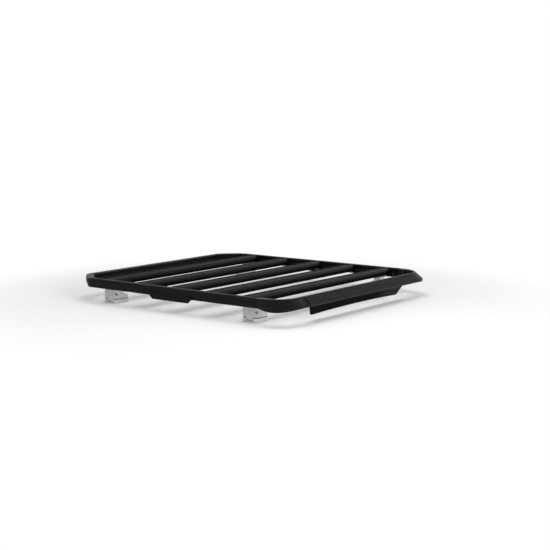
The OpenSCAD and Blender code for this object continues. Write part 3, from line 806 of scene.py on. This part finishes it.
def eyelet_places(side):
    """Outer faces of the tie-down holes in a side's front and rear castings."""
    out = side_of(side)
    front_lo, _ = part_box("front_%s_corner" % side)
    rear_lo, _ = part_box("rear_%s_corner" % side)
    edge = outer_y(side, "front_%s_corner" % side)
    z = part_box(side + "_side_rail")[1].z - HOLE_DROP
    places = [((front_lo.x + FRONT_HOLE_X, edge - out * FRONT_WEB, z), (0, -out, 0))]
    middle = (CHAMFER + CHAMFER_W * math.sqrt(2)) / 2
    step = REAR_HOLES_APART / 2 / math.sqrt(2)
    for s in (-1, 1):
        places.append(((rear_lo.x + middle + s * step, edge - out * (middle - s * step), z), (1, -out, 0)))
    return places


class RACK_OT_eyelets(bpy.types.Operator):
    """Rings in the castings' tie-down holes"""

    bl_idname = "rack.eyelets"
    bl_label = "Eyelets"

    def execute(self, context):
        sizes = context.scene.rack_sizes
        facets = 32
        for side in SIDES:
            ring = eyelet("eyelet", sizes.eyelet_r, sizes.hole_r, facets)
            obj = copies(ring, eyelet_places(side), side + "_eyelets")
            finish_piece(obj, FINISHES["dark_steel"])
        return {"FINISHED"}


def slot_plug(name, length, width, height):
    """Rounded plug with a sunk top, standing on z = 0 with its length along X."""
    deselect()
    bpy.ops.mesh.primitive_cube_add(size=1.0, location=(0, 0, height / 2))
    obj = bpy.context.object
    obj.name = name
    obj.scale = (length, width, height)
    bpy.ops.object.transform_apply(location=True, rotation=True, scale=True)
    edit(obj)
    pick(obj, lambda e: abs(e.verts[0].co.z - e.verts[1].co.z) > height * 0.9, "edges")
    bpy.ops.mesh.bevel(offset=width * 0.49, segments=8, affect="EDGES")
    pick(obj, lambda f: f.normal.z > LEVEL)
    bpy.ops.mesh.inset(thickness=width * 0.16)
    bpy.ops.mesh.extrude_region_move(TRANSFORM_OT_translate={"value": (0, 0, -height * 0.5)})
    pick(obj, lambda e: all(v.co.z > height * 0.95 for v in e.verts)
         and len({round(f.normal.z, 2) for f in e.link_faces}) > 1, "edges")
    bpy.ops.mesh.bevel(offset=height * 0.12, segments=2, affect="EDGES")
    return close_edit(obj)


class RACK_OT_slot_plugs(bpy.types.Operator):
    """Rubber plugs in the rear castings' slots"""

    bl_idname = "rack.slot_plugs"
    bl_label = "Slot plugs"

    def execute(self, context):
        depth = context.scene.rack_sizes.pocket
        length, width, sunk = 0.0136, 0.0106, 0.0004
        for side in SIDES:
            node = "rear_%s_corner" % side
            lo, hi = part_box(node)
            inboard = inner_y(side, node)
            place = (lo.x + SLOT_FROM_REAR, inboard + side_of(side) * SLOT_FROM_JOINT, hi.z - depth)
            plug = slot_plug("plug", length, width, depth - sunk)
            obj = copies(plug, [(place, (0, 0, 1))], side + "_slot_plug", math.pi / 2)
            finish_piece(obj, FINISHES["plug_rubber"])
        return {"FINISHED"}


# Feet


class RACK_OT_lock_bezels(bpy.types.Operator):
    """Raised rings round the feet's locks"""

    bl_idname = "rack.lock_bezels"
    bl_label = "Lock bezels"

    def execute(self, context):
        sizes = context.scene.rack_sizes
        height, seat, facets = 0.0075, 0.0050, 40
        for end in ENDS:
            for side in SIDES:
                name = "%s_%s_foot" % (end, side)
                out = side_of(side)
                _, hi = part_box(name + "_cover")
                axis = Vector((1, out, 0)).normalized()
                edge = outer_y(side, name + "_cover")
                centre = Vector((hi.x - FOOT_NOSE_R, edge - out * FOOT_NOSE_R, LOCK_Z))
                ring = washer("bezel", sizes.bezel_r, LOCK_HOLE_R, height, facets)
                obj = copies(ring, [(centre + axis * (FOOT_NOSE_R - seat), axis)], name + "_bezel")
                finish_piece(obj, FINISHES["foot_plastic"])
        return {"FINISHED"}


# Stage


def floor_material(color):
    """Pale studio floor that keeps the shadow near the rack and is white further out."""
    n = Nodes("studio_floor")
    cloud = n.noise(1.3, 3.0)
    n.link(n.blend(n.span(cloud, 0.3, 0.7), color, tint(color, 1.01)), n.shader.inputs["Base Color"])
    n.set(Roughness=0.8, Specular_IOR_Level=0.1)
    spread = n.add("ShaderNodeVectorMath", operation="LENGTH")
    n.link(n.place, spread.inputs[0])
    far = n.span(spread.outputs["Value"], *FLOOR_FADE)
    path = n.add("ShaderNodeLightPath")
    seen = n.math("MAXIMUM", path.outputs["Is Camera Ray"], path.outputs["Is Glossy Ray"])
    white = n.add("ShaderNodeEmission")
    white.inputs["Strength"].default_value = 1.0
    mix = n.add("ShaderNodeMixShader")
    n.link(n.math("MULTIPLY", far, seen), mix.inputs["Fac"])
    n.link(n.shader.outputs["BSDF"], mix.inputs[1])
    n.link(white.outputs["Emission"], mix.inputs[2])
    n.link(mix.outputs["Shader"], n.tree.nodes["Material Output"].inputs["Surface"])
    return n.material


def soft_lamp(name, place, size, power):
    """Square lamp aimed at the rack, too soft to show in its coat."""
    deselect()
    bpy.ops.object.light_add(type="AREA", location=place)
    lamp = bpy.context.object
    lamp.name = name
    lamp.data.size = size
    lamp.data.energy = power
    lamp.rotation_euler = Vector(place).to_track_quat("Z", "Y").to_euler()
    lamp.visible_glossy = False


def background(tree, strength):
    """White background of a strength; returns its shader socket."""
    node = tree.nodes.new("ShaderNodeBackground")
    node.inputs["Color"].default_value = (1, 1, 1, 1)
    node.inputs["Strength"].default_value = strength
    return node.outputs["Background"]


def studio_world(stage):
    """White surroundings: plain white to the camera, dimmer as a light and overhead in reflections."""
    world = bpy.data.worlds.new("studio")
    world.use_nodes = True
    tree = world.node_tree
    white = background(tree, 1.0)
    sight = tree.nodes.new("ShaderNodeTexCoord")
    split = tree.nodes.new("ShaderNodeSeparateXYZ")
    tree.links.new(sight.outputs["Generated"], split.inputs["Vector"])
    high = tree.nodes.new("ShaderNodeMapRange")
    high.interpolation_type = "SMOOTHSTEP"
    high.inputs["From Min"].default_value = 0.5
    high.inputs["From Max"].default_value = 0.98
    tree.links.new(split.outputs["Z"], high.inputs["Value"])
    mirrored = tree.nodes.new("ShaderNodeMixShader")
    tree.links.new(high.outputs["Result"], mirrored.inputs["Fac"])
    tree.links.new(white, mirrored.inputs[1])
    tree.links.new(background(tree, stage.ceiling), mirrored.inputs[2])
    path = tree.nodes.new("ShaderNodeLightPath")
    lit = background(tree, stage.sky)
    for ray, shown in (("Is Glossy Ray", mirrored.outputs["Shader"]),
                       ("Is Transmission Ray", white), ("Is Camera Ray", white)):
        mix = tree.nodes.new("ShaderNodeMixShader")
        tree.links.new(path.outputs[ray], mix.inputs["Fac"])
        tree.links.new(lit, mix.inputs[1])
        tree.links.new(shown, mix.inputs[2])
        lit = mix.outputs["Shader"]
    tree.links.new(lit, tree.nodes["World Output"].inputs["Surface"])
    return world


def studio_floor(color):
    """Wide floor just below the pads."""
    deselect()
    bpy.ops.mesh.primitive_plane_add(size=FLOOR_SIDE, location=(0, 0, -FLOOR_DROP))
    floor = bpy.context.object
    floor.name = "studio_floor"
    bpy.ops.object.transform_apply(location=True, rotation=True, scale=True)
    floor.data.materials.append(floor_material(color))


def photo_camera(lens):
    """Camera with the photograph's place, aim and view."""
    bpy.ops.object.camera_add(
        location=CAMERA_PLACE,
        rotation=(math.radians(CAMERA_TILT), 0.0, math.radians(CAMERA_HEADING)))
    camera = bpy.context.object
    camera.name = "photo_camera"
    camera.data.lens = lens
    camera.data.sensor_width = CAMERA_SENSOR
    camera.data.clip_end = CAMERA_REACH
    return camera


class RACK_OT_stage(bpy.types.Operator):
    """Floor, white surroundings, soft lamps and the camera"""

    bl_idname = "rack.stage"
    bl_label = "Stage"

    def execute(self, context):
        scene = context.scene
        stage = scene.rack_stage
        studio_floor(scene.rack_colors.floor)
        scene.world = studio_world(stage)
        soft_lamp("overhead_lamp", *OVERHEAD_LAMP, stage.lamp)
        soft_lamp("front_lamp", *FRONT_LAMP, stage.front_lamp)
        scene.camera = photo_camera(stage.lens)
        scene.view_settings.view_transform = "Standard"
        deselect()
        return {"FINISHED"}


# Add-on


STEPS = (
    RACK_OT_finishes,
    RACK_OT_bracket_screws,
    RACK_OT_joint_bolts,
    RACK_OT_rail_screws,
    RACK_OT_eyelets,
    RACK_OT_slot_plugs,
    RACK_OT_lock_bezels,
    RACK_OT_stage,
)


class RACK_PT_panel(bpy.types.Panel):
    """Sizes, colours and steps of the rack's looks"""

    bl_idname = "RACK_PT_panel"
    bl_label = "Roof rack"
    bl_space_type = "VIEW_3D"
    bl_region_type = "UI"
    bl_category = "Rack"

    def draw(self, context):
        for group in (context.scene.rack_sizes, context.scene.rack_colors, context.scene.rack_stage):
            box = self.layout.box()
            for key in group.__annotations__:
                box.prop(group, key)
        for step in STEPS:
            self.layout.operator(step.bl_idname)


CLASSES = (RackSizes, RackColors, RackStage, *STEPS, RACK_PT_panel)


def register():
    for item in CLASSES:
        bpy.utils.register_class(item)
    bpy.types.Scene.rack_sizes = PointerProperty(type=RackSizes)
    bpy.types.Scene.rack_colors = PointerProperty(type=RackColors)
    bpy.types.Scene.rack_stage = PointerProperty(type=RackStage)


def unregister():
    del bpy.types.Scene.rack_sizes
    del bpy.types.Scene.rack_colors
    del bpy.types.Scene.rack_stage
    for item in reversed(CLASSES):
        bpy.utils.unregister_class(item)


def main():
    """Registers the add-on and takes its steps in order."""
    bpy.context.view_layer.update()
    register()
    for step in STEPS:
        group, name = step.bl_idname.split(".")
        getattr(getattr(bpy.ops, group), name)()


if __name__ == "__main__":
    main()
